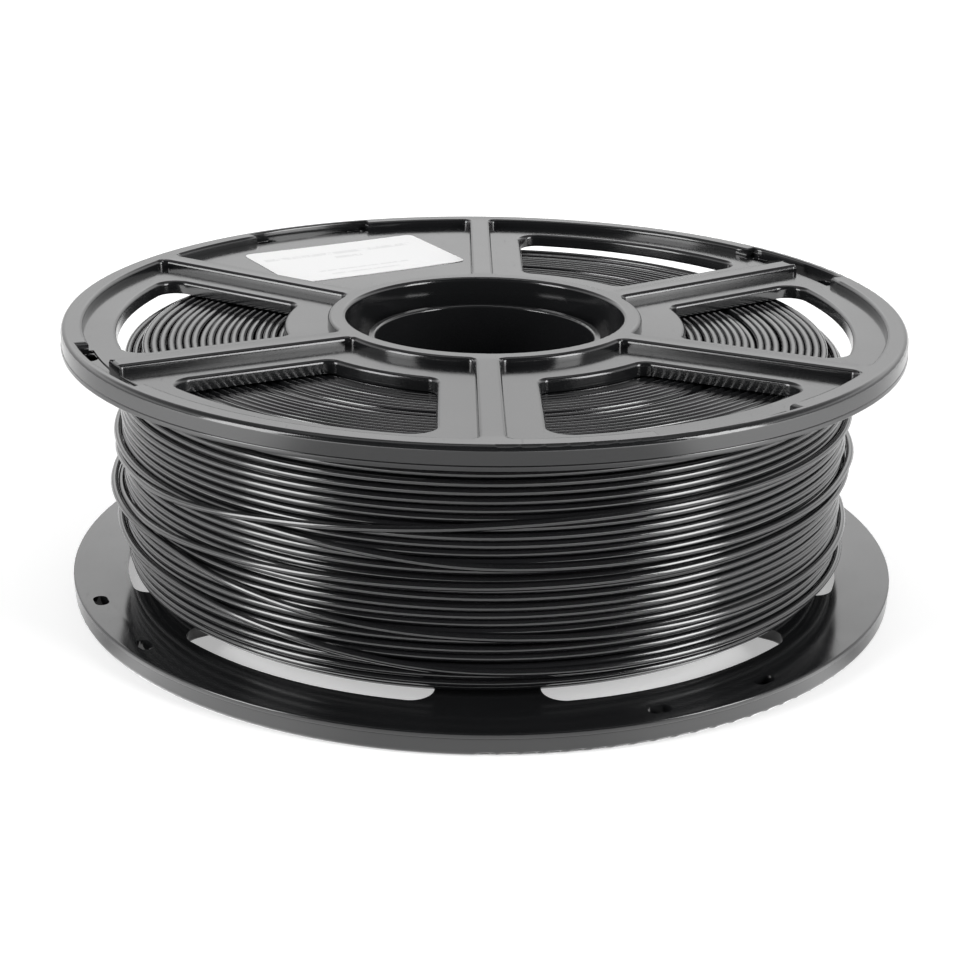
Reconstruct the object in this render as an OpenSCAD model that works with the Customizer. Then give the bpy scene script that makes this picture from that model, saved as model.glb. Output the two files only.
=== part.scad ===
// Spool of printing filament: two moulded halves that snap together, the wound filament and a label.
// The origin is at the bottom centre, +Z runs up the spool's axis and +X points to the right.
// The spool stands on the rim of its lower half.

/* [Spool] */
// Outer diameter of both flanges
flange_d = 200; // [176:1:240]
// Width of the spool over both rims
spool_w = 66.6; // [55:0.1:82]
// Diameter of the bore for the spindle
bore_d = 52.4; // [42:0.1:63]

/* [Flange] */
// Thickness of the rim along the axis
rim_h = 5.3; // [4.4:0.1:8]
// Width of the rim along the radius
rim_w = 5.3; // [4.4:0.1:7]
// Thickness of the web behind the pockets
web_t = 3.2; // [2.6:0.1:3.6]
// Distance that the hub ring lies deeper than the rim
dish = 1.3; // [0.4:0.1:2]
// Width of the hub ring along the radius
hub_ring_w = 4.4; // [3.6:0.1:6]
// Number of spokes
spoke_n = 6; // [5:1:7]
// Width of a spoke
spoke_w = 5.8; // [4:0.1:8]
// Direction of the first spoke in degrees
spoke_turn = 31.2; // [0:0.1:60]
// Corner radius of a pocket
pocket_fillet = 2; // [1:0.1:2.6]
// Rounding of the edge round the rim's outer face
rim_edge_r = 1.3; // [0.4:0.1:1.6]
// Rounding of the rim's inner edge
lip_r = 0.4; // [0.2:0.1:0.8]
// Distance of the mould's parting line from the inner edge
parting_h = 1.3; // [1:0.1:2]
// Step in the wall at the parting line
parting_step = 0.15; // [0.1:0.05:0.3]

/* [Windows] */
// Number of the sector that stays closed, counted from the first spoke
closed_sector = 1; // [0:1:4]
// Web left between a window and a spoke
window_side = 8.3; // [5:0.1:10]
// Web left between a window and the hub ring
window_hub = 10.4; // [6:0.1:13]
// Web left between a window and the rim
window_rim = 7.6; // [6:0.1:10]
// Corner radius of a window next to the hub
window_fillet_in = 3; // [1.5:0.1:5]
// Corner radius of a window next to the rim
window_fillet_out = 5; // [2:0.1:7]

/* [Filament clips] */
// Number of places round the rim where the filament's end can be parked
clip_n = 4; // [2:1:4]
// Angle that a clip's channel spans in degrees
clip_arc = 21; // [20:0.5:24]
// Rim wall left outside the channel
clip_wall = 2.35; // [2:0.05:3]
// Width of the channel along the radius
clip_w = 3.8; // [3.6:0.1:5]
// Depth of the channel below the pocket's floor
clip_drop = 0.4; // [0.2:0.1:0.8]
// Angle between a clip's middle and its holes in degrees
clip_hole_turn = 8.2; // [6:0.1:8.3]
// Length of a hole round the rim
clip_hole_l = 5.4; // [3.6:0.1:5.6]
// Width of a hole along the radius
clip_hole_w = 3.3; // [2:0.1:3.5]

/* [Barrel and hub tube] */
// Wall of the barrel that the filament is wound on
barrel_wall = 2.5; // [1.6:0.1:4]
// Wall of the inner tube that forms the bore
tube_wall = 1.7; // [1.4:0.1:3]
// Gap between the inner tube and the barrel
hub_gap = 5.4; // [4.4:0.1:8]
// Distance of the tube's end below the hub ring
tube_recess = 5.5; // [3:0.1:10]
// Rounding of the hub opening's edge
hub_edge_r = 1; // [0.4:0.1:1.4]
// Rounding of the bore's edges
bore_edge_r = 0.6; // [0.3:0.1:0.8]
// Height of the ring that centres the barrel on the lower half
spigot_h = 4; // [2:0.1:8]
// Thickness of the ring that centres the barrel
spigot_t = 1.8; // [1.2:0.1:2.4]
// Clearance between the centring ring and the barrel
spigot_clear = 0.1; // [0.05:0.01:0.3]

/* [Snap fit] */
// Number of barbs on the inner tube
barb_n = 6; // [3:1:8]
// Width of a barb round the tube
barb_w = 6.4; // [4:0.1:9]
// Height of a barb along the axis
barb_h = 2.4; // [1.8:0.1:4]
// Reach of a barb beyond the tube
barb_out = 1.9; // [1.2:0.1:2.4]
// Distance of the barbs below the tube's end
barb_drop = 0.8; // [0.4:0.1:2]
// Thickness of the shelf inside the barrel that the barbs grip
shelf_t = 2; // [1.2:0.1:4]
// Clearance between the shelf and the tube
shelf_clear = 0.3; // [0.15:0.01:0.6]
// Play between the barbs and the shelf
snap_play = 0.1; // [0.05:0.01:0.3]

/* [Filament] */
// Diameter of the filament
filament_d = 1.75; // [1.5:0.05:2.85]
// Depth of the wound pack below the flange's edge
pack_drop = 12.4; // [6:0.1:30]
// Amount that the pack narrows towards the lower flange
taper_low = 4; // [0:0.1:10]
// Amount that the pack narrows towards the upper flange
taper_high = 3.5; // [0:0.1:10]
// Share of the width over which the pack narrows at each end
taper_share = 0.2; // [0.05:0.01:0.4]
// Gap between the pack and each flange at the hub
pack_gap = 0.25; // [0.1:0.05:1]
// Gap between the pack and the barrel
barrel_gap = 0.05; // [0.02:0.01:0.3]

/* [Label] */
// Width of the label along the radius
label_w = 31; // [15:1:31]
// Thickness of the label
label_t = 0.15; // [0.1:0.05:0.3]
// Gap between the label's inner corners and the spokes
label_gap = 0.6; // [0.5:0.1:4]
// Distance of the label's middle inside the rim
label_from_rim = 27.4; // [22:0.1:30]
// Offset of the label from the sector's middle line
label_shift = 0.4; // [-2:0.1:2]
// Corner radius of the label
label_fillet = 2; // [1:0.1:3]
// Size of the cut corner along the radius
label_cut_w = 8.2; // [4:0.1:12]
// Size of the cut corner across the radius
label_cut_l = 4.3; // [2:0.1:8]

/* [Hidden] */
$fn = 128;

flange_r = flange_d / 2;
rim_in_r = flange_r - rim_w;
bore_r = bore_d / 2;
tube_r = bore_r + tube_wall;
hub_open_r = tube_r + hub_gap;
barrel_r = hub_open_r + barrel_wall;
hub_ring_r = hub_open_r + hub_ring_w;
// The flange's faces slope between a narrow flat ledge at the hub ring and one at the rim
ledge = 0.5;
slope_in_r = hub_ring_r + ledge;
slope_out_r = rim_in_r - ledge;
web_rise = dish / (slope_out_r - slope_in_r);
sector_arc = 360 / spoke_n;
clip_out_r = flange_r - parting_step - clip_wall;
clip_in_r = clip_out_r - clip_w;
clip_hole_r = clip_out_r - clip_w / 2;
window_in_r = hub_ring_r + window_hub;
window_out_r = rim_in_r - window_rim;
label_r = rim_in_r - label_from_rim;
label_room = (label_r - label_w / 2) * tan(sector_arc / 2) - spoke_w / 2 / cos(sector_arc / 2);
label_l = 2 * (label_room - abs(label_shift) - label_gap);

// Heights above the table
hub_face_low = rim_h + dish;
hub_face_high = spool_w - rim_h - dish;
tube_top = spool_w - dish - tube_recess;
barb_low = tube_top - barb_drop - barb_h;

// Wound pack
pack_low = hub_face_low + pack_gap;
pack_high = hub_face_high - pack_gap;
pack_in_r = barrel_r + barrel_gap;
pack_r = flange_r - pack_drop;
row_n = floor((pack_high - pack_low) / filament_d);
row_h = (pack_high - pack_low) / row_n;

// Margin by which a cut runs past the face it opens
over = 1;
// Overlap that makes a fillet's circle cross the sides it blends
graze = 0.002;

plastic = "#1b1c1e";
strand_black = "#141517";
paper = "#f4f4f2";

// Height of the pocket's floor above the rim's inner face, at radius r
function floor_z(r) = web_t - dish + (r - slope_in_r) * web_rise;

// How far the wound pack narrows at a share t of its width, from one flange to the other
function narrowing(t) =
    taper_low * pow(max(0, 1 - t / taper_share), 2)
    + taper_high * pow(max(0, 1 - (1 - t) / taper_share), 2);

// Radius of a strand's centre in the outermost layer, in row i
function row_r(i) = pack_r - filament_d / 2 - narrowing((i + 0.5) / row_n);

// ---- Outlines in the plane of a flange ----

// Region that a fillet of radius fil takes from a corner between a spoke's side and a circle of
// radius r. The spoke's side lies off the line through the centre by side; out is 1 at the rim's
// circle and -1 at the hub's. The fillet's circle is larger by graze, so that it crosses both sides.
module corner_waste(r, side, fil, out) {
    half = sector_arc / 2;
    along = [cos(half), sin(half)];
    across = [sin(half), -cos(half)];
    centre_s = sqrt(pow(r - out * fil, 2) - pow(side + fil, 2));
    centre = centre_s * along + (side + fil) * across;
    past_side = centre_s * along + (side - over) * across;
    past_circle = centre * (r + out * over) / (r - out * fil);
    past_corner = (sqrt(r * r - side * side) + out * over) * along + (side - over) * across;
    difference() {
        polygon([centre, past_side, past_corner, past_circle]);
        translate(centre) circle(fil + graze);
    }
}

// Sector between two spokes, with its middle line along +X and its corners rounded
module sector(r_in, r_out, inset, fil_in, fil_out) {
    side = spoke_w / 2 + inset;
    half = sector_arc / 2;
    apex = [side / sin(half), 0];
    reach = 2 * flange_r;
    difference() {
        intersection() {
            circle(r_out);
            polygon([apex, apex + reach * [cos(half), -sin(half)], apex + reach * [cos(half), sin(half)]]);
        }
        circle(r_in);
        for (flip = [0, 1]) mirror([0, flip]) {
            corner_waste(r_out, side, fil_out, 1);
            corner_waste(r_in, side, fil_in, -1);
        }
    }
}

// Label with three rounded corners and one cut corner, centred on the origin
module label_outline() {
    x = label_w / 2;
    y = label_l / 2;
    f = label_fillet;
    difference() {
        union() {
            square([label_w - 2 * f, label_l], center = true);
            square([label_w, label_l - 2 * f], center = true);
            for (sx = [-1, 1], sy = [-1, 1]) translate([sx * (x - f), sy * (y - f)]) circle(f);
        }
        polygon([[-x - over, y + over], [-x - over, y - label_cut_l], [-x, y - label_cut_l],
            [-x + label_cut_w, y], [-x + label_cut_w, y + over]]);
    }
}

// ---- Outlines that are turned round the axis; X is the radius ----

// Square corner less a quarter circle of radius r: the waste of a rounded edge at the origin
module edge_waste(r, dx, dy) {
    difference() {
        translate([dx > 0 ? -over : -r, dy > 0 ? -over : -r]) square(r + over);
        translate([dx * r, dy * r]) circle(r);
    }
}

// Web, rim and hub ring before the pockets are sunk; Y is 0 at the rim's inner face and grows outwards
module flange_outline() {
    wall_r = flange_r - parting_step;
    difference() {
        polygon([
            [hub_open_r, -dish], [slope_in_r, -dish], [slope_out_r, 0], [flange_r, 0],
            [flange_r, parting_h], [wall_r, parting_h], [wall_r, rim_h], [slope_out_r, rim_h],
            [slope_in_r, rim_h - dish], [hub_open_r, rim_h - dish]
        ]);
        translate([flange_r, 0]) edge_waste(lip_r, -1, 1);
        translate([wall_r, rim_h]) edge_waste(rim_edge_r, -1, -1);
        translate([hub_open_r, rim_h - dish]) edge_waste(hub_edge_r, 1, -1);
    }
}

// Space above a pocket's floor, out to the given radius
module above_floor(r_out) {
    rotate_extrude()
        polygon([
            [hub_ring_r - over, floor_z(hub_ring_r - over)], [r_out, floor_z(r_out)],
            [r_out, rim_h + over], [hub_ring_r - over, rim_h + over]
        ]);
}

// ---- Cuts in a flange, in the same frame as flange_outline ----

module pockets() {
    for (k = [0 : spoke_n - 1]) rotate(spoke_turn + sector_arc * (k + 0.5))
        intersection() {
            translate([0, 0, -dish])
                linear_extrude(rim_h + dish + over)
                    sector(hub_ring_r, rim_in_r, 0, pocket_fillet, pocket_fillet);
            above_floor(rim_in_r + over);
        }
}

module windows() {
    for (k = [0 : spoke_n - 1]) if (k != closed_sector) rotate(spoke_turn + sector_arc * (k + 0.5))
        translate([0, 0, -dish - over])
            linear_extrude(rim_h + dish + over)
                sector(window_in_r, window_out_r, window_side, window_fillet_in, window_fillet_out);
}

// Channel inside the rim and two holes through the web, where the filament's end is parked
module clips() {
    floor_h = web_t - clip_drop;
    half = clip_arc / 2;
    for (k = [0 : clip_n - 1]) rotate(spoke_turn + 360 / clip_n * k) {
        translate([0, 0, floor_h])
            linear_extrude(rim_h - floor_h + over)
                intersection() {
                    difference() {
                        circle(clip_out_r);
                        circle(clip_in_r);
                    }
                    polygon([[0, 0], 2 * flange_r * [cos(half), -sin(half)], 2 * flange_r * [cos(half), sin(half)]]);
                }
        for (side = [-1, 1]) rotate(side * clip_hole_turn) translate([clip_hole_r, 0, -over])
            linear_extrude(web_t + 2 * over) slot(clip_hole_l, clip_hole_w);
    }
}

module slot(l, w) {
    square([w, l - w], center = true);
    for (s = [-1, 1]) translate([0, s * (l - w) / 2]) circle(w / 2);
}

// ---- Pieces ----

// Upper half: flange, barrel and the shelf that the barbs grip
module upper_half() {
    barrel_l = hub_face_high - hub_face_low;
    shelf_top = barb_low - snap_play;
    color(plastic) translate([0, 0, spool_w - rim_h]) difference() {
        rotate_extrude() {
            flange_outline();
            translate([hub_open_r, -dish - barrel_l]) square([barrel_wall, barrel_l + web_t]);
            translate([tube_r + shelf_clear, shelf_top - shelf_t - spool_w + rim_h])
                square([barrel_r - tube_r - shelf_clear, shelf_t]);
        }
        pockets();
        windows();
        clips();
    }
}

// Lower half: the same flange turned over, with the inner tube, its barbs and the centring ring
module lower_half() {
    color(plastic) translate([0, 0, rim_h]) mirror([0, 0, 1]) {
        difference() {
            rotate_extrude() {
                flange_outline();
                hub_outline();
            }
            pockets();
            windows();
            clips();
        }
        barbs();
    }
}

// Height in the turned-over frame of a point that lies z above the table
function turned(z) = rim_h - z;

// Floor of the hub, the inner tube that forms the bore, and the ring that centres the barrel
module hub_outline() {
    floor_top = web_t - dish;
    difference() {
        union() {
            translate([bore_r, -dish]) square([hub_ring_r - bore_r, web_t]);
            translate([bore_r, turned(tube_top)]) square([tube_wall, floor_top - turned(tube_top)]);
            translate([hub_open_r - spigot_clear - spigot_t, -dish - spigot_h])
                square([spigot_t, spigot_h + web_t / 2]);
        }
        translate([bore_r, floor_top]) edge_waste(bore_edge_r, 1, -1);
        translate([bore_r, turned(tube_top)]) edge_waste(bore_edge_r, 1, 1);
    }
}

// Ramped barbs that snap over the shelf as the halves are pressed together
module barbs() {
    arc = barb_w / tube_r * 180 / PI;
    foot = tube_r - tube_wall / 4;
    catch_h = barb_h / 4;
    ramp = (barb_h - catch_h) / barb_out;
    low = turned(barb_low);
    high = turned(barb_low + catch_h + ramp * (tube_r + barb_out - foot));
    for (k = [0 : barb_n - 1]) rotate(spoke_turn + sector_arc / 2 + 360 / barb_n * k - arc / 2)
        rotate_extrude(angle = arc)
            polygon([[foot, low], [tube_r + barb_out, low], [tube_r + barb_out, low - catch_h], [foot, high]]);
}

// Wound pack: its outer layer and its two sides show every turn of the strand
module wound_filament() {
    last = row_n - 1;
    side_r = [row_r(0), row_r(last)];
    ring_n = [for (r = side_r) floor((r - pack_in_r - filament_d / 2) / filament_d)];
    color(strand_black) rotate_extrude() {
        polygon(concat(
            [[pack_in_r, pack_low + row_h / 2]],
            [for (i = [0 : last]) [row_r(i), pack_low + row_h * (i + 0.5)]],
            [[pack_in_r, pack_high - row_h / 2]]
        ));
        for (i = [0 : last]) translate([row_r(i), pack_low + row_h * (i + 0.5)]) circle(filament_d / 2);
        for (end = [0, 1], j = [1 : ring_n[end]])
            translate([side_r[end] - filament_d * j, end == 0 ? pack_low + row_h / 2 : pack_high - row_h / 2])
                circle(filament_d / 2);
    }
}

// Paper label that follows the floor of the closed sector
module label() {
    color(paper) rotate(spoke_turn + sector_arc * (closed_sector + 0.5)) intersection() {
        translate([label_r, label_shift, spool_w - rim_h])
            linear_extrude(rim_h) label_outline();
        translate([0, 0, spool_w - rim_h]) rotate_extrude()
            polygon([
                [hub_ring_r, floor_z(hub_ring_r)], [rim_in_r, floor_z(rim_in_r)],
                [rim_in_r, floor_z(rim_in_r) + label_t], [hub_ring_r, floor_z(hub_ring_r) + label_t]
            ]);
    }
}

upper_half();
lower_half();
wound_filament();
label();
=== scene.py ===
"""Looks of a filament spool: two moulded halves, the wound strand and a paper label, in a white studio.

The spool stands on the floor with its axis on +Z. Sizes are in millimetres, unless a comment says
otherwise, and become metres where something is made. Azimuths are in degrees, from +X towards +Y.
"""
import math

import bpy
import numpy as np
from mathutils import Matrix, Vector


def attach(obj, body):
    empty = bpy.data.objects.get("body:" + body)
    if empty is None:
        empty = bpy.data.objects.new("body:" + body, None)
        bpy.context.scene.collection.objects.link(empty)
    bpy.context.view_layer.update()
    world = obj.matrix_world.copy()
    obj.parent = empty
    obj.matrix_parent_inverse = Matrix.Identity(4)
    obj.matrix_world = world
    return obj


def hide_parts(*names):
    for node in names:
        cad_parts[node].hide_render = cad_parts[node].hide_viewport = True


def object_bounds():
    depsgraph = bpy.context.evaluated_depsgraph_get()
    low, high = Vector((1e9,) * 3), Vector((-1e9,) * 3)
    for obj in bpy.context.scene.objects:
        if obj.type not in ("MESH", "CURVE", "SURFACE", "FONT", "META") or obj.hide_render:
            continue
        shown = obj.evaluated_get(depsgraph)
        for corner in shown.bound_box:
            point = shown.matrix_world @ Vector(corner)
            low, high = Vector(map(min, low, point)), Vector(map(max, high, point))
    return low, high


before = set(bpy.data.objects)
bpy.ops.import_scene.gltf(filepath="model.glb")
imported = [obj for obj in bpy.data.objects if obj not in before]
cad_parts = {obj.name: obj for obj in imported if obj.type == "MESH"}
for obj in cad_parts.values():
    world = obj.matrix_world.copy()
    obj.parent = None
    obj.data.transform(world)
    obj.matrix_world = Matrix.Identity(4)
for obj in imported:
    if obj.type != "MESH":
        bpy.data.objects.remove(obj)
cad_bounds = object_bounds()

MM = 0.001
HALF_WIDTH = round((cad_bounds[1][2] - cad_bounds[0][2]) / 2 / MM, 3)      # height of the spool's middle


def add_object(name, data):
    """Puts a mesh, a camera or a lamp into the scene."""
    thing = bpy.data.objects.new(name, data)
    bpy.context.scene.collection.objects.link(thing)
    return thing


def metres(sizes):
    """Sizes in millimetres, turned into metres."""
    return [size * MM for size in sizes]


# ---- Camera, as the photograph was taken ----

CAMERA_AT = (0.3, -447.9, 190.0)
CAMERA_PITCH = 18.15        # degrees below the horizon
CAMERA_ROLL = 0.76          # degrees, the picture turned clockwise
CAMERA_LENS = 71.71         # focal length, for a sensor of SENSOR_W
SENSOR_W = 36
CAMERA_SHIFT_Y = -0.0876    # share of the picture's width
CLIP_RANGE = (10, 50000)    # nearest and farthest that it sees


def make_camera():
    data = bpy.data.cameras.new("camera")
    data.sensor_width = SENSOR_W
    data.lens = CAMERA_LENS
    data.shift_y = CAMERA_SHIFT_Y
    data.clip_start, data.clip_end = metres(CLIP_RANGE)
    camera = add_object("camera", data)
    pitch, roll = math.radians(CAMERA_PITCH), math.radians(CAMERA_ROLL)
    forward = Vector((0, math.cos(pitch), -math.sin(pitch)))
    level_up = Vector((0, math.sin(pitch), math.cos(pitch)))
    level_right = Vector((1, 0, 0))
    right = math.cos(roll) * level_right + math.sin(roll) * level_up
    up = math.cos(roll) * level_up - math.sin(roll) * level_right
    turn = Matrix((right, up, -forward)).transposed().to_4x4()
    camera.matrix_world = Matrix.Translation(Vector(CAMERA_AT) * MM) @ turn
    bpy.context.scene.camera = camera


# ---- Node helpers ----

class Graph:
    """A node tree with short calls to add nodes and link them."""

    def __init__(self, tree):
        self.tree = tree
        tree.nodes.clear()

    def add(self, kind, **settings):
        node = self.tree.nodes.new(kind)
        for name, value in settings.items():
            setattr(node, name, value)
        return node

    def link(self, source, target):
        self.tree.links.new(source, target)

    def put(self, socket, value):
        """Sets a socket to a constant, or links it to another node's output."""
        if isinstance(value, bpy.types.NodeSocket):
            self.link(value, socket)
        else:
            socket.default_value = value

    def math(self, operation, a, b=0.0):
        node = self.add("ShaderNodeMath", operation=operation)
        self.put(node.inputs[0], a)
        self.put(node.inputs[1], b)
        return node.outputs[0]

    def product(self, *factors):
        """All factors, multiplied one after another."""
        result = factors[0]
        for factor in factors[1:]:
            result = self.math("MULTIPLY", result, factor)
        return result

    def hypotenuse(self, a, b):
        return self.math("SQRT", self.math("ADD", self.product(a, a), self.product(b, b)))

    def within(self, value, middle, reach):
        """1 where value is no further than reach from middle, and 0 elsewhere."""
        node = self.add("ShaderNodeMath", operation="COMPARE")
        for socket, v in zip(node.inputs, (value, middle, reach)):
            self.put(socket, v)
        return node.outputs[0]

    def spread(self, value, low, high, to_low, to_high):
        """Maps value from low..high to to_low..to_high, clamped and eased at both ends."""
        node = self.add("ShaderNodeMapRange", interpolation_type="SMOOTHSTEP")
        for socket, v in zip(node.inputs[:5], (value, low, high, to_low, to_high)):
            self.put(socket, v)
        return node.outputs[0]

    def ramp(self, value, stops):
        """Grey ramp through (position, level) stops."""
        node = self.add("ShaderNodeValToRGB")
        self.put(node.inputs[0], value)
        elements = node.color_ramp.elements
        while len(elements) < len(stops):
            elements.new(0.5)
        for element, (position, level) in zip(elements, stops):
            element.position = position
            element.color = (level, level, level, 1)
        return node.outputs[0]

    def vector(self, operation, *values):
        """Result of a vector operation, which for LENGTH is a number."""
        node = self.add("ShaderNodeVectorMath", operation=operation)
        for socket, value in zip(node.inputs, values):
            self.put(socket, value)
        return node.outputs["Value" if operation == "LENGTH" else "Vector"]

    def parts(self, vector):
        """X, Y and Z of a vector."""
        node = self.add("ShaderNodeSeparateXYZ")
        self.link(vector, node.inputs[0])
        return tuple(node.outputs)

    def place(self):
        """Where a point of the surface lies, in metres from the object's origin."""
        return self.add("ShaderNodeTexCoord").outputs["Object"]

    def light_path(self, question):
        """The answer to a question such as Is Camera Ray: 1 or 0."""
        return self.add("ShaderNodeLightPath").outputs[question]

    def noise(self, where, scale, detail=2.0, roughness=0.5):
        node = self.add("ShaderNodeTexNoise")
        for name, value in (("Vector", where), ("Scale", scale), ("Detail", detail),
                            ("Roughness", roughness)):
            self.put(node.inputs[name], value)
        return node.outputs[0]

    def stretched(self, where, scale):
        node = self.add("ShaderNodeMapping")
        self.put(node.inputs["Vector"], where)
        self.put(node.inputs["Scale"], scale)
        return node.outputs[0]

    def bump(self, height, distance, strength):
        node = self.add("ShaderNodeBump")
        for name, value in (("Height", height), ("Distance", distance * MM), ("Strength", strength)):
            self.put(node.inputs[name], value)
        return node.outputs[0]

    def blend(self, share, tones):
        """Colour between two tones: the first where share is 0, and the second where it is 1."""
        node = self.add("ShaderNodeMix", data_type="RGBA")
        for name, value in (("Factor", share), ("A", tones[0]), ("B", tones[1])):
            self.put(node.inputs[name], value)
        return node.outputs["Result"]

    def surface(self, colour, roughness, normal, specular=0.5):
        """Ends a material in its shader."""
        shader = self.add("ShaderNodeBsdfPrincipled")
        for name, value in (("Base Color", colour), ("Roughness", roughness), ("Normal", normal),
                            ("Specular IOR Level", specular)):
            self.put(shader.inputs[name], value)
        self.link(shader.outputs[0], self.add("ShaderNodeOutputMaterial").inputs[0])


def new_material(name):
    material = bpy.data.materials.new(name)
    material.use_nodes = True
    return material, Graph(material.node_tree)


# ---- Studio: a white room that is dark behind the camera, with a tall soft light on either side ----

WHITE_ROOM = 1.0            # strength of the room as the camera sees it
ROOM_PEAK = 2.75            # and of the light that it casts, where the following shares are 1
# Share by height, from the horizon to overhead: (upward part of the direction, share)
ROOM_GLOW = ((0.0, 0.46), (0.2, 0.48), (0.26, 0.62), (0.335, 0.92), (0.42, 0.95), (0.55, 0.35),
             (0.75, 0.12), (0.86, 0.15), (0.95, 0.5))
FRONT_GLOW = 0.05           # share on the dark side, behind the camera
FRONT_ZONE = (-0.5, -0.1)   # Y of the level direction over which the dark side gives way

FLOOR_REACH = 6000          # from the middle to the floor's edges
FLOOR_PAPER = (0.82, 0.82, 0.82, 1)
# The floor's own glow, which the camera and reflections see: near the spool, far away, and the distances
# between which it rises
FLOOR_LIFT, FAR_LIFT, LIFT_ZONE = 0.40, 1.0, (200, 600)
# Painted pools of light on the floor, which only reflections see, at both sides where the lights fall: how
# strong, where it begins aside, and where it ends in depth
PAINTED_SIDE_GLOW, SIDES_ZONE, SIDES_DEPTH = 2.4, (165, 200), (-200, 80)
# A painted glow on the floor close to the spool's base, in front, which only reflections see: how strong,
# and where it ends in distance and in depth
PAINTED_BASE_GLOW, BASE_ZONE, BASE_DEPTH = 1.0, (105, 113), (-68, -50)
BASE_GAIN, GAIN_ZONE = 1.8, (20, 50)    # how much stronger it gets aside, and where

AIM_Z = 33                  # height that the lights aim at
# Name, azimuth, elevation in degrees, then distance, width and height in metres, and radiance
SOFTBOXES = (
    ("soft_left", 209, 18, 1.2, 0.46, 0.80, 11.5),
    ("soft_right", 332, 18, 1.2, 0.42, 0.80, 13.5),
)


def seen_directly(g):
    """1 where the camera, a reflection or glass looks at it, and 0 for the light that it casts."""
    seen = g.math("MAXIMUM", g.light_path("Is Camera Ray"), g.light_path("Is Glossy Ray"))
    return g.math("MAXIMUM", seen, g.light_path("Is Transmission Ray"))


def make_room():
    world = bpy.data.worlds.new("white_room")
    bpy.context.scene.world = world
    world.use_nodes = True
    g = Graph(world.node_tree)
    direction = g.add("ShaderNodeTexCoord").outputs["Generated"]
    level_direction = g.vector("NORMALIZE", g.vector("MULTIPLY", direction, (1, 1, 0)))
    glow = g.ramp(g.parts(direction)[2], ROOM_GLOW)
    back = g.spread(g.parts(level_direction)[1], *FRONT_ZONE, FRONT_GLOW, 1.0)
    lit = g.add("ShaderNodeBackground")
    g.link(g.product(glow, back, ROOM_PEAK), lit.inputs["Strength"])
    white = g.add("ShaderNodeBackground")
    white.inputs["Strength"].default_value = WHITE_ROOM
    mix = g.add("ShaderNodeMixShader")
    g.link(g.light_path("Is Camera Ray"), mix.inputs[0])
    g.link(lit.outputs[0], mix.inputs[1])
    g.link(white.outputs[0], mix.inputs[2])
    g.link(mix.outputs[0], g.add("ShaderNodeOutputWorld").inputs[0])


def white_floor():
    """White paper that looks plain white, keeps shadows, and shows painted glow in the spool's reflections.
    """
    material, g = new_material("white_floor")
    paper = g.add("ShaderNodeBsdfDiffuse")
    paper.inputs["Color"].default_value = FLOOR_PAPER
    where = g.place()
    distance = g.vector("LENGTH", where)
    across, depth, _ = g.parts(where)
    aside = g.math("ABSOLUTE", across)
    lift = g.spread(distance, *metres(LIFT_ZONE), FLOOR_LIFT, FAR_LIFT)
    # painted pools of light on the floor at both sides, where the lights fall, seen only by reflections
    painted_side_pools = g.product(g.spread(aside, *metres(SIDES_ZONE), 0.0, PAINTED_SIDE_GLOW),
                      g.spread(depth, *metres(SIDES_DEPTH), 1.0, 0.0))
    # painted glow on the floor near the spool's base, in front, seen only by reflections
    base = g.product(g.spread(distance, *metres(BASE_ZONE), PAINTED_BASE_GLOW, 0.0),
                     g.spread(depth, *metres(BASE_DEPTH), 1.0, 0.0),
                     g.spread(aside, *metres(GAIN_ZONE), 1.0, BASE_GAIN))
    # both painted glows together, for glossy rays only
    painted_reflected_glow = g.product(g.math("ADD", painted_side_pools, base), g.light_path("Is Glossy Ray"))
    glow = g.add("ShaderNodeEmission")
    g.link(g.math("ADD", g.product(seen_directly(g), lift), painted_reflected_glow), glow.inputs["Strength"])
    both = g.add("ShaderNodeAddShader")
    g.link(paper.outputs[0], both.inputs[0])
    g.link(glow.outputs[0], both.inputs[1])
    g.link(both.outputs[0], g.add("ShaderNodeOutputMaterial").inputs[0])
    return material


def make_floor():
    size = FLOOR_REACH * MM
    corners = [(-size, -size, 0), (size, -size, 0), (size, size, 0), (-size, size, 0)]
    mesh = bpy.data.meshes.new("floor")
    mesh.from_pydata(corners, [], [(0, 1, 2, 3)])
    mesh.materials.append(white_floor())
    floor = add_object("floor", mesh)


def make_softbox(name, azimuth, elevation, distance, width, height, radiance):
    """Soft light aimed at the spool, which the camera doesn't see."""
    data = bpy.data.lights.new(name, "AREA")
    data.shape = "RECTANGLE"
    data.size, data.size_y = width, height
    data.energy = radiance * math.pi * width * height
    lamp = add_object(name, data)
    a, e = math.radians(azimuth), math.radians(elevation)
    aim = Vector((0, 0, AIM_Z * MM))
    away = Vector((math.cos(e) * math.cos(a), math.cos(e) * math.sin(a), math.sin(e)))
    lamp.location = aim + distance * away
    lamp.rotation_euler = away.to_track_quat("Z", "Y").to_euler()
    lamp.visible_camera = False


# ---- Materials: noise scales count patches to a metre ----

MOULDED_TONES = ((0.0075, 0.0078, 0.0083, 1), (0.0110, 0.0113, 0.0120, 1))
MOULDED_ROUGH = (0.11, 0.15)
SCUFF_ROUGH, FINE_ROUGH = 0.10, 0.02    # roughness that scuffs and fine grain add
STRAND_TONES = ((0.0060, 0.0062, 0.0068, 1), (0.0095, 0.0098, 0.0105, 1))
STRAND_ROUGH = (0.12, 0.18)
STRAND_SPECULAR = 0.7
PAPER_WHITE = (0.83, 0.87)
PAPER_ROUGH = 0.45


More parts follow.
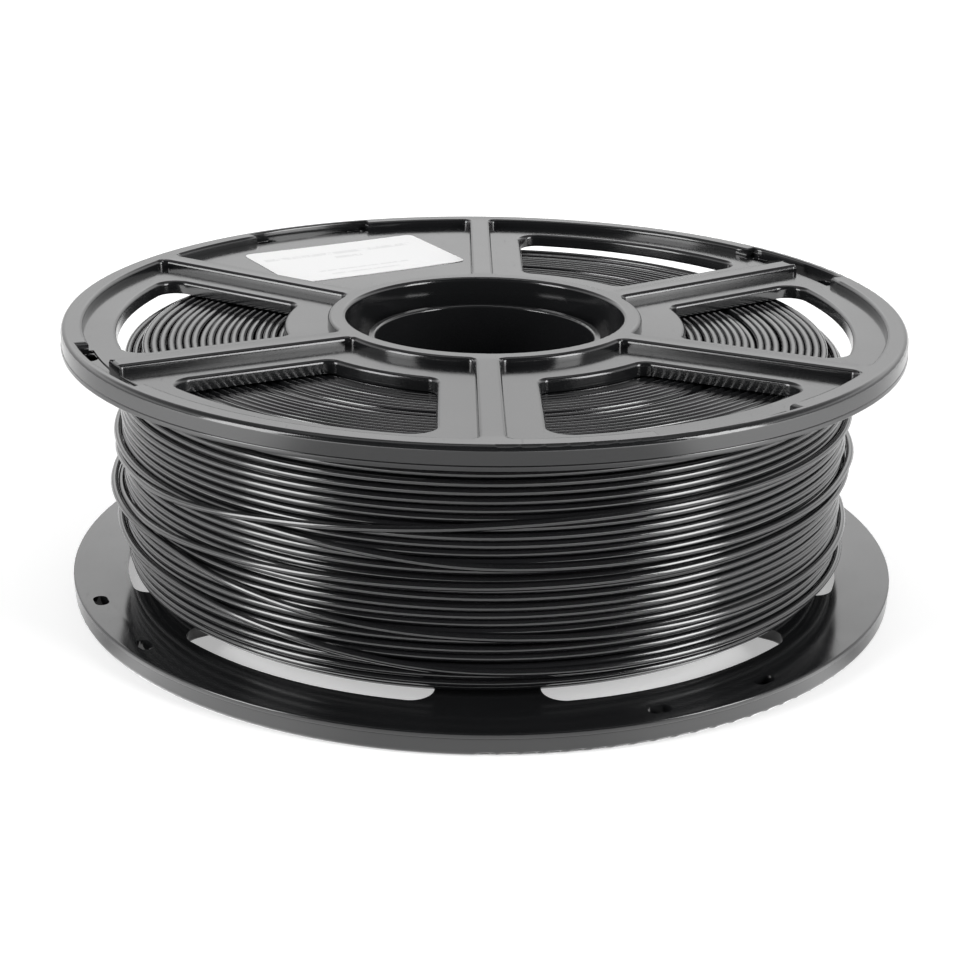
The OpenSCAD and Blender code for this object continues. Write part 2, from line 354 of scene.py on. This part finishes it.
def moulded_plastic():
    """Glossy black injection-moulded plastic: faint flow marks, fine scuffs and a slight ripple."""
    material, g = new_material("moulded_plastic")
    where = g.place()
    cloud = g.noise(where, scale=60.0, detail=3.0)
    fine = g.noise(where, scale=900.0)
    scuffs = g.noise(g.stretched(where, (1400, 160, 400)), scale=1.0, detail=3.0)
    marks = g.spread(scuffs, 0.62, 0.78, 0.0, SCUFF_ROUGH)
    base = g.spread(cloud, 0.3, 0.7, *MOULDED_ROUGH)
    rough = g.math("ADD", g.math("ADD", base, marks), g.product(fine, FINE_ROUGH))
    g.surface(g.blend(cloud, MOULDED_TONES), rough, g.bump(cloud, distance=0.05, strength=0.25))
    return material


def strand_plastic():
    """Extruded black filament: glossy, with very fine die lines and slow changes of gloss along it."""
    material, g = new_material("strand_plastic")
    where = g.place()
    slow = g.noise(where, scale=45.0)
    lines = g.noise(g.stretched(where, (120, 120, 5200)), scale=1.0)
    rough = g.spread(slow, 0.3, 0.7, *STRAND_ROUGH)
    normal = g.bump(lines, distance=0.01, strength=0.2)
    g.surface(g.blend(slow, STRAND_TONES), rough, normal, STRAND_SPECULAR)
    return material


LABEL_AZIMUTH, LABEL_R = 121.2, 67.3    # of the label's middle
LABEL_INK = 0.13                        # how much darker the faded print is than the paper
# Faded print, as plain bars that stand for lines of text: the middle's place along the label and across
# it, and the bar's length and height
LABEL_BARS = ((1.5, 7.1, 44, 2.2), (0.7, 2.9, 8, 1.9), (2.0, -8.1, 27, 1.1), (2.8, -11.3, 20, 1.1))


def label_paper():
    """White paper with a few bars of faded grey print, broken up like words. There is no lettering."""
    material, g = new_material("label_paper")
    where = g.place()
    turned = g.add("ShaderNodeVectorRotate", rotation_type="Z_AXIS")
    g.link(where, turned.inputs["Vector"])
    turned.inputs["Angle"].default_value = -math.radians(LABEL_AZIMUTH)
    across, along, _ = g.parts(turned.outputs[0])
    bars = 0.0
    for middle_along, middle_across, length, height in LABEL_BARS:
        bar = g.product(g.within(along, middle_along * MM, length / 2 * MM),
                        g.within(across, (LABEL_R + middle_across) * MM, height / 2 * MM))
        bars = g.math("MAXIMUM", bars, bar)
    blots = g.noise(g.stretched(turned.outputs[0], (250, 420, 1)), scale=1.0, detail=4.0, roughness=0.7)
    words = g.spread(blots, 0.36, 0.52, 0.0, LABEL_INK)
    fibres = g.noise(where, scale=2500.0, detail=3.0)
    white = g.spread(fibres, 0.2, 0.8, *PAPER_WHITE)
    tone = g.math("SUBTRACT", white, g.product(bars, words))
    grey = g.add("ShaderNodeCombineColor")
    for socket in grey.inputs[:3]:
        g.link(tone, socket)
    g.surface(grey.outputs[0], PAPER_ROUGH, g.bump(fibres, distance=0.02, strength=0.2))
    return material


def paint(node, material):
    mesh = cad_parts[node].data
    mesh.materials.clear()
    mesh.materials.append(material)


# ---- Rounded edges of the moulded halves ----

EDGE_ROUNDING = 1.0         # of the edges round spokes, pockets and windows
ROUNDING_STEPS = 3
# Edges on the rim, beyond this radius, get this share of it
RIM_ZONE_R, RIM_SHARE = 95.2, 0.5
# Low edges where the filament's end is parked, beyond this radius and below this height over the flange's
# inner side, get this share of it
CLIP_ZONE_R, CLIP_TOP, CLIP_SHARE = 93.2, 3.4, 0.3
FLANGE_INNER = 28.0         # from the spool's middle to the flange's inner side at the rim
FLAT_TILT = 0.99            # least upward part of a flat face's normal
WALL_TILT = 0.1             # and the most of a wall's
CREASE = 30                 # degrees from which an edge that isn't rounded stays sharp
PLACES_PER_MM = 2000        # fineness at which edges of neighbouring faces count as one
WELD_REACH = 0.002
MERGE_ANGLE = 0.3           # degrees within which faces of the CAD mesh are joined
FACE_WEIGHT = 80            # how much large faces outweigh small ones in the shading


def edge_weights(mesh, facing):
    """Each edge's share of the rounding, and whether it is sharp.

    Rounded edges are those that a flat face on the outside shares with a wall below it.
    """
    points = np.empty(len(mesh.vertices) * 3)
    mesh.vertices.foreach_get("co", points)
    points = points.reshape(-1, 3) / MM
    ends = np.empty(len(mesh.edges) * 2, dtype=np.int64)
    mesh.edges.foreach_get("vertices", ends)
    middle = points[ends.reshape(-1, 2)].mean(axis=1)
    steps = np.round(middle * PLACES_PER_MM).astype(np.int64)
    place = np.unique(steps, axis=0, return_inverse=True)[1].ravel()
    count = place.max() + 1
    flat, wall = np.zeros(count, dtype=bool), np.zeros(count, dtype=bool)
    normals = np.zeros((count, 3))
    loop_edge = np.empty(len(mesh.loops), dtype=np.int64)
    mesh.loops.foreach_get("edge_index", loop_edge)
    for face in mesh.polygons:
        tilt = face.normal.z * facing
        for edge in loop_edge[face.loop_start:face.loop_start + face.loop_total]:
            normals[place[edge]] += face.normal
            if tilt > FLAT_TILT:
                flat[place[edge]] = True
            elif abs(tilt) < WALL_TILT and (face.center.z / MM - middle[edge][2]) * facing < 0:
                wall[place[edge]] = True
    radius = np.hypot(middle[:, 0], middle[:, 1])
    level = (middle[:, 2] - HALF_WIDTH) * facing - FLANGE_INNER
    weight = np.where(radius > RIM_ZONE_R, RIM_SHARE, 1.0)
    weight = np.where((radius > CLIP_ZONE_R) & (level < CLIP_TOP), CLIP_SHARE, weight)
    weight *= (flat & wall)[place]
    creased = np.linalg.norm(normals, axis=1) < 2 * math.cos(math.radians(CREASE / 2))
    return weight, creased[place] & (weight == 0)


def add_modifier(thing, name, kind, **settings):
    modifier = thing.modifiers.new(name, kind)
    for setting, value in settings.items():
        setattr(modifier, setting, value)


def round_edges(node, facing):
    """Rounds the outer face's edges on one half. Facing is +1 where that face looks up, and otherwise -1."""
    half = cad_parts[node]
    mesh = half.data
    weight, sharp = edge_weights(mesh, facing)
    weights = mesh.attributes.new("bevel_weight_edge", "FLOAT", "EDGE")
    weights.data.foreach_set("value", weight.astype(np.float32))
    mesh.edges.foreach_set("use_edge_sharp", sharp)
    mesh.polygons.foreach_set("use_smooth", np.ones(len(mesh.polygons), dtype=bool))
    add_modifier(half, "weld", "WELD", merge_threshold=WELD_REACH * MM)
    add_modifier(half, "merge", "DECIMATE", decimate_type="DISSOLVE", angle_limit=math.radians(MERGE_ANGLE))
    add_modifier(half, "rounding", "BEVEL", width=EDGE_ROUNDING * MM, segments=ROUNDING_STEPS,
                 limit_method="WEIGHT", use_clamp_overlap=False, harden_normals=False,
                 miter_outer="MITER_SHARP")
    add_modifier(half, "shading", "WEIGHTED_NORMAL", keep_sharp=True, weight=FACE_WEIGHT)
    add_modifier(half, "rounds", "NODES", node_group=ring_normals(node, facing))


# Edges that the halves have rounded in CAD, all the way round: the corner's radius, its height from the
# spool's middle towards the half's outer face, the rounding, and the ways in which it points along both
RIM_EDGE = (99.85, HALF_WIDTH, 1.3, 1, 1)
HUB_OPENING = (33.3, 32.0, 1.0, -1, 1)
BORE_EDGES = ((26.2, 32.0, 0.6, -1, 1), (26.2, -26.5, 0.6, -1, -1))
RINGS = {"upper_half": (RIM_EDGE, HUB_OPENING), "lower_half": (RIM_EDGE, *BORE_EDGES)}
RING_REACH = 0.05           # off the true round within which a point still belongs to it


def ring_normals(node, facing):
    """Geometry nodes that give the rounded rings the normals of true rounds, whatever their facets are."""
    tree = bpy.data.node_groups.new("ring_normals", "GeometryNodeTree")
    for way in ("INPUT", "OUTPUT"):
        tree.interface.new_socket("Geometry", in_out=way, socket_type="NodeSocketGeometry")
    g = Graph(tree)
    x, y, z = g.parts(g.add("GeometryNodeInputPosition").outputs[0])
    radius = g.hypotenuse(x, y)
    height = g.product(g.math("SUBTRACT", z, HALF_WIDTH * MM), facing)
    normal = g.add("GeometryNodeInputNormal").outputs[0]
    for corner_r, corner_h, rounding, way_out, way_up in RINGS[node]:
        out = g.math("SUBTRACT", radius, (corner_r - way_out * rounding) * MM)
        up = g.math("SUBTRACT", height, (corner_h - way_up * rounding) * MM)
        share = g.math("DIVIDE", out, radius)
        aim = g.add("ShaderNodeCombineXYZ")
        aims = (g.product(x, share), g.product(y, share), g.product(up, facing))
        for socket, value in zip(aim.inputs, aims):
            g.link(value, socket)
        on_round = g.within(g.hypotenuse(out, up), rounding * MM, RING_REACH * MM)
        for along, way in ((out, way_out), (up, way_up)):
            outside = g.math("GREATER_THAN", g.product(along, way), -RING_REACH * MM)
            on_round = g.product(on_round, outside)
        choice = g.add("GeometryNodeSwitch", input_type="VECTOR")
        choices = (on_round, normal, g.vector("NORMALIZE", aim.outputs[0]))
        for socket, value in zip(choice.inputs, choices):
            g.link(value, socket)
        normal = choice.outputs[0]
    set_normal = g.add("GeometryNodeSetMeshNormal", mode="FREE", domain="CORNER")
    g.link(g.add("NodeGroupInput").outputs[0], set_normal.inputs[0])
    g.link(normal, set_normal.inputs["Custom Normal"])
    g.link(set_normal.outputs[0], g.add("NodeGroupOutput").inputs[0])
    return tree


# ---- The wound strand: turns laid one on another, each as tight as the turns under it let it be ----

STRAND_D = 1.75
TUBE_SIDES = 8
STEPS = 180                 # points on a turn, which starts at the back of the spool
PACK_LOW = 6.85             # heights of the pack's sides next to the hub
PACK_HIGH = 2 * HALF_WIDTH - PACK_LOW
PACK_R = 87.6
TAPER_LOW, TAPER_HIGH = 2.1, 3.5        # how much the pack narrows towards its sides
TAPER_SHARE = 0.2           # share of its width over which it narrows, at each side
BARREL_R = 35.85
SLOPE_IN_R, SLOPE = 38.2, 1.3 / 56      # from this radius on, the flanges' inner faces draw apart

LOW_Z = PACK_LOW + STRAND_D / 2         # middles of the outermost turns next to the hub
HIGH_Z = PACK_HIGH - STRAND_D / 2
LAYERS = 3                  # whole layers that are laid turn by turn
LAYER_TURNS = 26
LAYER_RISE = 1.6            # from one layer's middle to the next
LAYER_INSET = 0.8           # of the whole layers from the pack's outline, where stray turns lie on them
LAYER_MARGIN = STRAND_D * 0.97          # whole layers end beside the turns of the pack's sides
LAYER_WANDER, LAYER_UNEVEN = 50, 0.8    # points that gaps take to change, and how uneven they are
BED_WANDER, BED_WAVE = 40, 0.12         # and how the innermost of these layers rises and falls
SIDE_PITCH = 1.86           # between neighbouring turns at the pack's sides
SIDE_WANDER, SIDE_UNEVEN = 40, 1.1
SINK_WANDER, SINK_FROM, SINK = 50, 0.2, 0.3     # how stretches of the sides lie a little deeper
PACK_SEED = 7               # of all random draws

# Turns that wander across the outermost layer: heights at the azimuths of STRAY_AZIMUTHS, one row to a turn
STRAY_AZIMUTHS = (90, 150, 180, 200, 225, 243, 254, 265, 283, 300, 330, 390, 450)
STRAY_TURNS = (
    (26.2, 26.3, 26.5, 27.0, 29.6, 31.0, 31.5, 31.7, 32.0, 32.1, 32.6, 36.5, 40.8),
    (40.8, 40.5, 40.3, 40.1, 39.8, 39.5, 38.2, 36.2, 35.8, 35.7, 35.5, 35.2, 35.0),
    (35.0, 35.2, 35.8, 37.0, 39.9, 41.9, 43.2, 44.6, 46.4, 46.6, 46.6, 46.9, 47.2),
)
LOW_TURNS = (
    (27.8, 27.7, 27.6, 27.3, 25.6, 22.4, 21.6, 20.9, 20.0, 19.6, 19.4, 19.3, 19.2),
    (19.2, 19.1, 19.1, 19.0, 18.6, 16.4, 14.1, 12.9, 12.5, 12.4, 12.3, 12.2, 12.2),
)
STRAY_EASE = 4              # points over which their bends are smoothed
END_DIP, END_POINTS = 2.2, 8            # how deep their ends sink into the pack, and over how many points
TAUT_PASSES, TAUT_EASE = 500, 2         # passes that pull a strand taut, and points that smooth it then

CORE_ROWS, CORE_SIDES = 40, 96
CORE_INSET = 2.6            # of the core from the pack's sides


def face_drop(radius):
    """How far the flanges' inner faces have drawn apart at a radius, on each side."""
    return np.maximum(0, radius - SLOPE_IN_R) * SLOPE


def pack_outline(z):
    """Radius of the wound pack at a height."""
    drop = face_drop(PACK_R - TAPER_LOW)
    share = np.clip((z - PACK_LOW + drop) / (PACK_HIGH - PACK_LOW + 2 * drop), 0, 1)
    low = np.maximum(0, 1 - share / TAPER_SHARE) ** 2
    high = np.maximum(0, 1 - (1 - share) / TAPER_SHARE) ** 2
    return PACK_R - TAPER_LOW * low - TAPER_HIGH * high


def wander(rng, count, reach):
    """Smooth random curve with deviation 1; reach is how many points it takes to change."""
    half = 2 * reach
    bell = np.exp(-0.5 * (np.arange(-half, half + 1) / (0.5 * reach)) ** 2)
    return np.convolve(rng.standard_normal(count + 2 * half), bell / np.sqrt(np.sum(bell ** 2)), "valid")


def ease(values, reach):
    """Smooths a curve over a few points and keeps its ends."""
    half = 3 * reach
    bell = np.exp(-0.5 * (np.arange(-half, half + 1) / reach) ** 2)
    return np.convolve(np.pad(values, half, mode="edge"), bell / np.sum(bell), "valid")


def side_by_side(rng, turns, width, reach, unevenness):
    """Places of a strand whose turns lie side by side over a width, no closer than the strand is thick."""
    gaps = np.exp(unevenness * wander(rng, turns * STEPS + 1, reach))
    gaps *= (width - turns * STRAND_D) / np.sum(gaps[0:turns * STEPS:STEPS])
    place = np.zeros(turns * STEPS + 1)
    place[:STEPS + 1] = np.linspace(0, STRAND_D + gaps[0], STEPS + 1)
    for turn in range(1, turns):
        at = turn * STEPS
        place[at:at + STEPS + 1] = place[at - STEPS:at + 1] + STRAND_D + gaps[at - STEPS:at + 1]
    return place


def resting_radius(z, laid):
    """Radius at which a strand at heights z touches the turns laid before it."""
    radius = np.zeros(len(z))
    azimuth = np.arange(len(z)) % STEPS
    for turn_z, turn_r in laid:
        room = STRAND_D ** 2 - (z - turn_z[azimuth]) ** 2
        radius = np.maximum(radius, np.where(room > 0, turn_r[azimuth] + np.sqrt(np.maximum(room, 0)), 0))
    return radius


def pulled_taut(radius):
    """The tightest line that stays outside a radius."""
    bound = 1 / radius
    inverse = bound.copy()
    chord = 2 * math.cos(2 * math.pi / STEPS)
    for _ in range(TAUT_PASSES):
        inverse[1:-1] = np.minimum(bound[1:-1], (inverse[:-2] + inverse[2:]) / chord)
    return ease(1 / inverse, TAUT_EASE)


def keep_turns(laid, z, radius):
    """Adds a strand's turns to those that later ones rest on."""
    for start in range(0, len(z) - 1, STEPS):
        laid.append((z[start:start + STEPS], radius[start:start + STEPS]))


def strand_mesh(name, radius, z):
    """Tube of the strand's thickness along a line of points, given by radius and height."""
    count = len(z)
    azimuth = math.pi / 2 + np.arange(count)[:, None] * 2 * math.pi / STEPS
    spin = np.arange(TUBE_SIDES) * 2 * math.pi / TUBE_SIDES
    ring_r = radius[:, None] + STRAND_D / 2 * np.cos(spin)
    ring_z = z[:, None] + STRAND_D / 2 * np.sin(spin)
    points = np.stack([ring_r * np.cos(azimuth), ring_r * np.sin(azimuth), ring_z], axis=-1)
    at, here = np.arange(count - 1)[:, None] * TUBE_SIDES, np.arange(TUBE_SIDES)
    beside, ahead = (here + 1) % TUBE_SIDES, at + TUBE_SIDES
    quads = np.stack([at + here, ahead + here, ahead + beside, at + beside], axis=-1)
    last = (count - 1) * TUBE_SIDES
    caps = [list(range(TUBE_SIDES)), list(range(last + TUBE_SIDES - 1, last - 1, -1))]
    mesh = bpy.data.meshes.new(name)
    mesh.from_pydata((points.reshape(-1, 3) * MM).tolist(), [], quads.reshape(-1, 4).tolist() + caps)
    mesh.shade_smooth()
    return mesh


def core_mesh():
    """What lies beneath the modelled turns, turned round the axis."""
    z = np.linspace(PACK_LOW + CORE_INSET, PACK_HIGH - CORE_INSET, CORE_ROWS)
    outer = pack_outline(z) - LAYER_INSET - STRAND_D / 2 - LAYERS * LAYER_RISE
    profile = [(BARREL_R, z[0]), *zip(outer, z), (BARREL_R, z[-1])]
    rows = len(profile)
    azimuths = [2 * math.pi * i / CORE_SIDES for i in range(CORE_SIDES)]
    verts = [(r * math.cos(a) * MM, r * math.sin(a) * MM, h * MM) for a in azimuths for r, h in profile]
    faces = []
    for i in range(CORE_SIDES):
        here, beside = i * rows, (i + 1) % CORE_SIDES * rows
        for j in range(rows):
            above = (j + 1) % rows
            faces.append((here + j, beside + j, beside + above, here + above))
    mesh = bpy.data.meshes.new("pack_core")
    mesh.from_pydata(verts, [], faces)
    return mesh


def add_wound(mesh, material):
    """Adds a piece of the pack, which together stand for the CAD's plain one."""
    mesh.materials.append(material)
    piece = add_object(mesh.name, mesh)
    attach(piece, "root")
    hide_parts("wound_filament")


def lay_layers(rng, material):
    """Lays the whole layers, by turns upwards and downwards, and returns their turns."""
    laid = []
    drop = face_drop(PACK_R - TAPER_LOW)
    for layer in range(LAYERS):
        width = HIGH_Z - LOW_Z + 2 * (drop - LAYER_MARGIN)
        place = side_by_side(rng, LAYER_TURNS, width, LAYER_WANDER, LAYER_UNEVEN)
        rising, falling = LOW_Z + LAYER_MARGIN - drop + place, HIGH_Z - LAYER_MARGIN + drop - place
        z = rising if layer % 2 == 0 else falling
        bed = pack_outline(z) - LAYER_INSET - STRAND_D / 2 - (LAYERS - 1 - layer) * LAYER_RISE
        if layer == 0:
            radius = bed + BED_WAVE * wander(rng, len(z), BED_WANDER)
        else:
            radius = resting_radius(z, laid)
            radius = np.where(radius > 0, radius, bed)
        radius = pulled_taut(radius)
        keep_turns(laid, z, radius)
        add_wound(strand_mesh(f"strand_layer_{layer + 1}", radius, z), material)
    return laid


def lay_strays(name, turns, laid, material):
    """Lays turns that cross the ones laid before, and adds them to those."""
    azimuths = STRAY_AZIMUTHS[0] + np.arange(STEPS) * 360 / STEPS
    z = np.concatenate([np.interp(azimuths, STRAY_AZIMUTHS, turn) for turn in turns] + [[turns[-1][-1]]])
    z = ease(z, STRAY_EASE)
    radius = np.zeros(len(z))
    for turn in range(len(turns)):
        span = slice(turn * STEPS, (turn + 1) * STEPS + 1)
        radius[span] = resting_radius(z[span], laid)
        keep_turns(laid, z[span], radius[span])
    radius = pulled_taut(radius)
    radius[:END_POINTS] -= np.linspace(END_DIP, 0, END_POINTS)
    radius[-END_POINTS:] -= np.linspace(0, END_DIP, END_POINTS)
    add_wound(strand_mesh(name, radius, z), material)


def lay_side(rng, name, z_face, inwards, outline, material):
    """Lays the turns at one side of the pack, from the barrel out to its outline.

    Inwards is +1 where the pack lies above this side, and -1 where it lies below.
    """
    r_in, r_out = BARREL_R + STRAND_D / 2, outline - STRAND_D / 2
    turns = int((r_out - r_in) / SIDE_PITCH)
    radius = r_in + side_by_side(rng, turns, r_out - r_in, SIDE_WANDER, SIDE_UNEVEN)
    depth = SINK * np.maximum(0, wander(rng, len(radius), SINK_WANDER) - SINK_FROM)
    z = z_face + inwards * (depth - face_drop(radius))
    add_wound(strand_mesh(name, radius, z), material)


def make_pack(material):
    rng = np.random.default_rng(PACK_SEED)
    laid = lay_layers(rng, material)
    lay_strays("strand_stray_turns", STRAY_TURNS, laid, material)
    lay_strays("strand_low_turns", LOW_TURNS, laid, material)
    lay_side(rng, "strand_lower_side", LOW_Z, 1, PACK_R - TAPER_LOW, material)
    lay_side(rng, "strand_upper_side", HIGH_Z, -1, PACK_R - TAPER_HIGH, material)
    add_wound(core_mesh(), material)


# ---- The scene ----

make_camera()
make_room()
make_floor()
for softbox in SOFTBOXES:
    make_softbox(*softbox)

plastic = moulded_plastic()
paint("upper_half", plastic)
paint("lower_half", plastic)
paint("label", label_paper())
round_edges("upper_half", 1)
round_edges("lower_half", -1)
make_pack(strand_plastic())

bpy.context.scene.view_settings.view_transform = "Standard"
